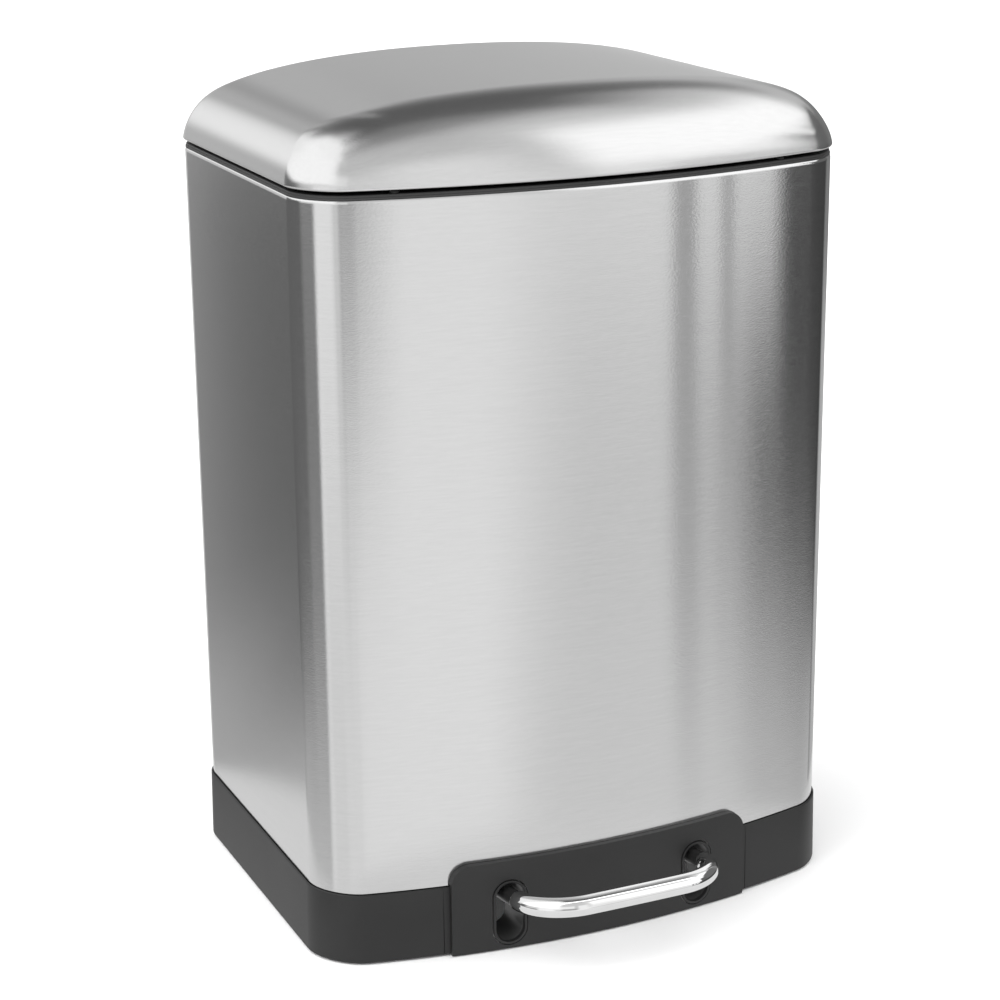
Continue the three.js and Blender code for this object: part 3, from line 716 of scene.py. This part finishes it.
def pedal_arm(side):
    start = -pedal_reach + bend_radius + gap
    end = -80 * mm
    near, far = rounded_ends(end - start, arm_radius, 0.6 * mm)
    stations = near + far
    centres = [Vector((side * arm_x, start + along, 0)) for along, radius in stations]
    name = "left" if side < 0 else "right"
    made = tube("arm_" + name, centres, [radius for along, radius in stations])
    smooth(made, degrees=50)
    place(made, satin_black, "pedal", ["pedal_arm_" + name])


# ---------------------------------------------------------------- bucket


def bucket():
    low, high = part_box("bucket")
    rear = back - 18.9 * mm  # the rod and the damper stand behind it
    rim = high.z
    profile = [
        (-26.8, low.z),
        (-26.2, low.z + 0.3 * mm),
        (-26.0, low.z + 1.2 * mm),
        (-17.0, rim - 2.5 * mm),
        (-10.4, rim - 2.5 * mm),
        (-10.0, rim - 2.1 * mm),
        (-10.0, rim - 0.5 * mm),
        (-10.5, rim),
        (-18.2, rim),
        (-18.9, rim - 0.3 * mm),
        (-19.2, rim - 1.2 * mm),
        (-28.1, low.z + 3.4 * mm),
        (-29.3, low.z + 2.2 * mm),
    ]
    rings = [outline(offset * mm, z, rear) for offset, z in profile]
    made = new_object("bucket_liner", *skin(rings))
    smooth(made)
    place(made, grey_plastic, "bucket", ["bucket"])


# ---------------------------------------------------------------- lid

lid_overhang = 1.1 * mm
lid_shoulder = lid_edge + 2 * mm
side_fullness = 2.17  # exponents of the arch across the lid
side_squareness = 3.04
front_round = 47.8 * mm
back_round = 40 * mm
edge_fullness = 1.92  # exponent of the rounding at the lid's front and back
dome_rings = 56


def rounded(share):
    """Height from 0 to 1 at a share of the way in over a rounded edge."""
    inside = min(1.0, max(0.0, share))
    return (1 - (1 - inside) ** edge_fullness) ** (1 / edge_fullness)


def dome_height(x, y, offset):
    """Height above the lid's edge at a place in plan, for a dome pulled in or out by an offset."""
    across = min(1.0, abs(x) / (half_width + offset))
    arch = (1 - across**side_fullness) ** (1 / side_squareness)
    from_front = (y - front_edge(x, offset)) / front_round
    from_back = (back_edge(x, offset, back) - y) / back_round
    return lid_rise * arch * rounded(from_front) * rounded(from_back)


def dome(offset, drop):
    """Rings of the dome from its shoulder to its top, which lies a drop lower than the lid's."""
    edge = outline(offset, lid_shoulder)
    rings = []
    for k in range(dome_rings):
        share = math.cos(k / dome_rings * math.pi / 2)
        ring = []
        for point in edge:
            x = point.x * share
            y = middle_y + (point.y - middle_y) * share
            z = max(lid_shoulder, lid_edge + dome_height(x, y, offset) - drop)
            ring.append(Vector((x, y, z)))
        rings.append(ring)
    return rings


def lid_steel():
    thick = 0.9 * mm
    hem = [
        (-2.0, 0.25),
        (-1.7, 0.05),
        (-0.9, 0.05),
        (-0.1, 0.25),
        (0.5, 0.65),
        (0.85, 1.15),
        (1.04, 1.6),
    ]
    outer = [outline(offset * mm, lid_edge + z * mm) for offset, z in hem]
    inner = [outline(-2.2 * mm, lid_edge + 0.6 * mm), outline(-0.3 * mm, lid_edge + 1.6 * mm)]
    inner += dome(lid_overhang - thick, thick)
    outer += dome(lid_overhang, 0)
    made = new_object("lid_steel", *skin(inner[::-1] + outer))
    smooth(made, degrees=50)
    plan_uv(made, lambda point: (point.x, point.y))
    place(made, brushed_lid, "lid", ["lid_shell"])


def lid_lining():
    offset = -3.2 * mm
    thick = 2 * mm
    drop = 2.2 * mm
    low = lid_edge - 0.4 * mm
    outer = [outline(offset, low)] + dome(offset, drop)
    inner = [outline(offset - thick, low)] + dome(offset - thick, drop + thick)
    made = new_object("lid_lining", *skin(inner[::-1] + outer))
    smooth(made, degrees=50)
    place(made, collar_plastic, "lid", ["lid_liner"])


def liner_pads():
    """Blocks that carry the liner on the hinge plate."""
    plate_low, plate_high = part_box("lid_hinge_plate")
    half = 20 * mm
    pad_rear = back - 6.9 * mm
    pad_top = 600 * mm
    for name, x in (("liner_pad_left", -30 * mm), ("liner_pad_right", 30 * mm)):
        low = (x - half, plate_low.y, plate_high.z + gap)
        made = block(low, (x + half, pad_rear, pad_top))
        made.name = name
        soften(made, 1.2 * mm, segments=3)
        smooth(made)
        place(made, collar_plastic, "lid")


# ---------------------------------------------------------------- CAD fittings that stay


def smoothing_group(degrees=35):
    """Geometry nodes that shade a mesh smooth, apart from its sharp edges."""
    group = bpy.data.node_groups.new("smooth_by_angle", "GeometryNodeTree")
    group.interface.new_socket("Geometry", in_out="INPUT", socket_type="NodeSocketGeometry")
    group.interface.new_socket("Geometry", in_out="OUTPUT", socket_type="NodeSocketGeometry")
    start = group.nodes.new("NodeGroupInput")
    end = group.nodes.new("NodeGroupOutput")
    bare = group.nodes.new("GeometryNodeRemoveAttribute")
    bare.inputs["Name"].default_value = "custom_normal"
    faces = group.nodes.new("GeometryNodeSetShadeSmooth")
    faces.domain = "FACE"
    edges = group.nodes.new("GeometryNodeSetShadeSmooth")
    edges.domain = "EDGE"
    edges.inputs["Shade Smooth"].default_value = False
    angle = group.nodes.new("GeometryNodeInputMeshEdgeAngle")
    above = group.nodes.new("FunctionNodeCompare")
    above.operation = "GREATER_THAN"
    above.inputs["B"].default_value = math.radians(degrees)
    link = group.links.new
    link(start.outputs["Geometry"], bare.inputs["Geometry"])
    link(bare.outputs["Geometry"], faces.inputs["Geometry"])
    link(faces.outputs["Geometry"], edges.inputs["Geometry"])
    link(angle.outputs["Unsigned Angle"], above.inputs["A"])
    link(above.outputs["Result"], edges.inputs["Selection"])
    link(edges.outputs["Geometry"], end.inputs["Geometry"])
    return group


def dress(node, material, smoothing, edge):
    """Keeps a CAD node, with its edges softened and a material of its own."""
    made = frame["nodes"][node]
    for slot in made.material_slots:
        slot.material = material
    weld = made.modifiers.new("weld", "WELD")
    weld.merge_threshold = 0.005 * mm
    soften(made, edge)
    step = made.modifiers.new("shade", "NODES")
    step.node_group = smoothing
    even = made.modifiers.new("even", "WEIGHTED_NORMAL")
    even.keep_sharp = True


def dress_fittings():
    """Dresses every CAD node that no piece above replaces."""
    finishes = {
        "brushed_steel": brushed_body,
        "plain_steel": plain_steel,
        "black_steel": black_steel,
        "chrome": chrome,
        "black_plastic": black_plastic,
        "grey_plastic": grey_plastic,
        "nylon": nylon,
        "rubber": rubber,
    }
    smoothing = smoothing_group()
    for part in frame["record"]["subparts"]:
        node = part["node"]
        if not frame["nodes"][node].hide_render:
            edge = 0.8 * mm if node == "hinge_cover" else 0.25 * mm
            dress(node, finishes[part["material_slot"]], smoothing, edge)


# ---------------------------------------------------------------- studio


def floor_recipe(name, low, high):
    recipe = Recipe(name, grey(low), 0.6)
    shade = recipe.noise((2, 2, 2), detail=2.0)
    recipe.color_between(recipe.spread(shade, 0.0, 1.0), grey(low), grey(high))
    recipe.shader.inputs["Specular IOR Level"].default_value = 0.2
    return recipe.material


def floor():
    """A wide pale floor, and near the bin a glowing disc that only reflections see: a painted reflection of
    the floor.
    """
    reach = 14
    corners = [(-reach, -reach, 0), (reach, -reach, 0), (reach, reach, 0), (-reach, reach, 0)]
    wide = new_object("studio_floor", corners, [(0, 1, 2, 3)])
    wide.data.materials.append(floor_recipe("pale_floor", 0.9, 0.92))
    wide.visible_glossy = False
    near_reach = 0.36
    near_height = 0.2 * mm
    reflection_glow_level = 0.74
    rim = []
    for bearing in range(0, 360, 5):
        turn = math.radians(bearing)
        rim.append((math.sin(turn) * near_reach, middle_y + math.cos(turn) * near_reach, near_height))
    near = new_object("floor_reflection_glow", rim, [tuple(reversed(range(len(rim))))])
    # its glow is a painted reflection of the floor, even and without the bin's shadow
    glow = floor_recipe("floor_reflection_glow", 0.0, 0.0)
    shader = glow.node_tree.nodes["Principled BSDF"]
    shader.inputs["Emission Color"].default_value = (*grey(reflection_glow_level), 1)
    shader.inputs["Emission Strength"].default_value = 1.0
    near.data.materials.append(glow)
    near.visible_camera = False
    near.visible_diffuse = False
    near.visible_shadow = False


# The studio as the bin sees it, in soft-edged panels; later ones lie over earlier ones. The numbers are
# the bearing from the front (right is positive) from and to, the height above the horizon from and to,
# the brightness, and the width of the soft sides and of the soft top and bottom; angles in degrees.
studio_panels = [
    ("front_top", -60, 58, 52, 90, 0.26, 20, 20),
    ("front_high", -50, 62, 10, 64, 0.63, 14, 16),
    ("front", -50, 62, -90, 29, 0.92, 14, 14),
    ("front_right_low", 17, 62, -90, -12, 0.66, 18, 5),
    ("front_right_foot", 17, 62, -90, -20, 0.74, 18, 5),
    ("left_box", -155, -42, 10, 66, 1.2, 14, 12),
    ("left_box_top", -150, -40, 55, 80, 1.15, 46, 9),
    ("left_box_rear", -172, -140, 5, 41, 1.05, 11, 9),
    ("front_left", -49, -31, -90, 0, 0.7, 12, 6),
    ("front_left_low", -52, -12, -90, -18.5, 0.85, 14, 5),
    ("left_dark", -167, -78, -90, -7, 0.13, 8, 6),
    ("left_dark_edge", -116, -80, -90, -7, 0.21, 10, 6),
    ("left_rear_edge", -168, -162.9, -90, -7, 0.4, 0.6, 6),
    ("left_dark_upper", -151, -104, -90, 10, 0.14, 12, 8),
    ("left_foot", -172, -74, -90, -22.1, 0.53, 12, 3.5),
    ("left_rear_foot", -172, -161.8, -90, -20.3, 0.54, 2, 3.5),
    ("left_corner_foot", -146, -74, -90, -23, 0.66, 14, 3),
    ("left_corner", -78, -48, -90, 10, 0.96, 12, 6),
    ("left_corner_low", -76, -46, -90, -15, 0.78, 14, 5),
    ("front_gap", -35, -5, -14.5, 4, 0.4, 10, 5),
    ("front_gap_upper", -12, -5, 4, 60, 0.62, 5, 5),
    ("right_glow", 14, 116, -3, 59, 0.72, 14, 24),
    ("right_rear", 116, 150, -5, 34, 0.58, 10, 10),
    ("right_box", 23, 104, 2, 45, 1.3, 12, 12),
    ("right_shade", 36.5, 80, -90, -12.7, 0.49, 3, 3),
    ("right_dark_edge", 48.5, 75, -90, -12.5, 0.04, 9, 3),
    ("right_dark_low", 59.2, 116, -90, 20, 0.13, 3, 5),
    ("right_dark_high", 73.5, 118, -90, 28.5, 0.15, 4, 4),
    ("right_dark_top", 84, 110, -90, 31.5, 0.15, 5, 4),
    ("right_dusk", 112, 143, -90, 16, 0.22, 6, 8),
    ("right_dark_foot", 53.7, 108, -90, -3, 0.06, 4, 4),
    ("right_shade_foot", 30, 56, -90, -20.2, 0.74, 8, 5),
    ("right_foot", 50, 108, -90, -20.6, 0.62, 8, 5),
    ("right_floor_near", 111, 142, -90, -12.5, 0.5, 6, 3),
    ("right_floor", 144, 168, -90, 0, 0.74, 4, 6),
    ("stand_near", 36.8, 40.2, -15, 0, 0.4, 1.5, 3),
    ("stand_near_low", 38, 41.5, -21, -15, 0.42, 1.5, 3),
    ("stand_far", 44.2, 46.2, -20, 0, 0.42, 1.5, 3),
    ("rear_glow", 163, 180, 5, 34, 0.55, 5, 10),
    ("rear_gap", 169.5, 173, 14, 60, 0.36, 3, 4),
]


class Sky:
    """World nodes that paint soft-edged panels by bearing and height."""

    def __init__(self):
        world = bpy.data.worlds.new("studio")
        scene.world = world
        world.use_nodes = True
        self.tree = world.node_tree
        direction = self.tree.nodes.new("ShaderNodeTexCoord")
        split = self.tree.nodes.new("ShaderNodeSeparateXYZ")
        self.tree.links.new(direction.outputs["Generated"], split.inputs["Vector"])
        ahead = self.math("MULTIPLY", split.outputs["Y"], -1)
        turn = self.math("ARCTAN2", split.outputs["X"], ahead)
        self.bearing = self.math("DEGREES", turn)
        self.height = self.math("DEGREES", self.math("ARCSINE", split.outputs["Z"]))

    def math(self, operation, first, second=None, third=None):
        node = self.tree.nodes.new("ShaderNodeMath")
        node.operation = operation
        for socket, value in zip(node.inputs, (first, second, third)):
            if isinstance(value, bpy.types.NodeSocket):
                self.tree.links.new(value, socket)
            elif value is not None:
                socket.default_value = value
        return node.outputs["Value"]

    def within(self, distance, half, softness):
        """1 inside a distance and 0 outside it, with a soft step between."""
        node = self.tree.nodes.new("ShaderNodeMapRange")
        node.interpolation_type = "SMOOTHSTEP"
        node.inputs["From Min"].default_value = half + softness / 2
        node.inputs["From Max"].default_value = half - softness / 2
        self.tree.links.new(distance, node.inputs["Value"])
        return node.outputs["Result"]

    def backdrop(self):
        """Mid grey below the horizon and dark overhead."""
        node = self.tree.nodes.new("ShaderNodeMapRange")
        node.interpolation_type = "SMOOTHSTEP"
        node.inputs["From Min"].default_value = -5
        node.inputs["From Max"].default_value = 60
        node.inputs["To Min"].default_value = 0.66
        node.inputs["To Max"].default_value = 0.12
        self.tree.links.new(self.height, node.inputs["Value"])
        return node.outputs["Result"]

    def panel(self, under, left, right, low, high, level, side_softness, end_softness):
        """Lays a panel of the given brightness over what is under it."""
        offset = self.math("SUBTRACT", self.bearing, (left + right) / 2)
        across = self.math("ABSOLUTE", self.math("WRAP", offset, 180, -180))
        upward = self.math("ABSOLUTE", self.math("SUBTRACT", self.height, (low + high) / 2))
        mask = self.math(
            "MULTIPLY",
            self.within(across, (right - left) / 2, side_softness),
            self.within(upward, (high - low) / 2, end_softness),
        )
        change = self.math("MULTIPLY", self.math("SUBTRACT", level, under), mask)
        return self.math("ADD", under, change)


def world():
    sky = Sky()
    light = sky.backdrop()
    for _, *shape in studio_panels:
        light = sky.panel(light, *shape)
    background = sky.tree.nodes["Background"]
    background.inputs["Color"].default_value = (*grey(1.0), 1)
    sky.tree.links.new(light, background.inputs["Strength"])


def top_light():
    """Even light from above that fills the floor and the plastics without showing in the steel."""
    data = bpy.data.lights.new("top_light", "SUN")
    data.energy = 2.6
    data.angle = math.radians(100)
    made = bpy.data.objects.new("top_light", data)
    made.visible_glossy = False
    scene.collection.objects.link(made)


def side_light():
    """Light from the left that lifts the side of the black base."""
    data = bpy.data.lights.new("side_light", "SUN")
    data.energy = 1.1
    data.angle = math.radians(60)
    made = bpy.data.objects.new("side_light", data)
    made.rotation_euler = (0, math.radians(-62), 0)
    made.visible_glossy = False
    scene.collection.objects.link(made)


def pedal_light():
    """A long light over the pedal that only its chrome sees, as a bright line along the tube."""
    data = bpy.data.lights.new("pedal_light", "AREA")
    data.shape = "RECTANGLE"
    data.size = 0.9
    data.size_y = 0.09
    data.energy = 0.4
    made = bpy.data.objects.new("pedal_light", data)
    scene.collection.objects.link(made)
    tread_low, tread_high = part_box("pedal_tread")
    tread = (tread_low + tread_high) / 2
    distance = 0.5
    height = math.radians(72)
    away = Vector((0, -math.cos(height), math.sin(height)))
    made.location = tread + distance * away
    made.rotation_euler = away.to_track_quat("Z", "Y").to_euler()
    made.visible_camera = False
    seen_by = bpy.data.collections.new("chrome_only")
    seen_by.objects.link(bpy.data.objects["tread_bar"])
    made.light_linking.receiver_collection = seen_by


def camera():
    made = bpy.data.objects.new("camera", bpy.data.cameras.new("camera"))
    scene.collection.objects.link(made)
    yaw = math.radians(24.656)
    pitch = math.radians(-17.092)
    roll = math.radians(-0.388)
    stand = Matrix.Translation((-773.4 * mm, -1675.5 * mm, 874.8 * mm))
    turn = Matrix.Rotation(-yaw, 4, "Z") @ Matrix.Rotation(math.pi / 2 + pitch, 4, "X")
    made.matrix_world = stand @ turn @ Matrix.Rotation(roll, 4, "Z")
    made.data.sensor_width = 36
    made.data.lens = 90.1
    made.data.shift_x = -0.0187
    made.data.shift_y = -0.0083
    scene.camera = made


steel_wall()
collar()
base_skirt()
base_deck()
foot_bosses()
surround_plate()
for side in (-1, 1):
    slot_sleeve(side)
    pedal_arm(side)
pedal_tread()
bucket()
lid_steel()
lid_lining()
liner_pads()
dress_fittings()

floor()
world()
top_light()
side_light()
pedal_light()
camera()
scene.view_settings.view_transform = "Standard"
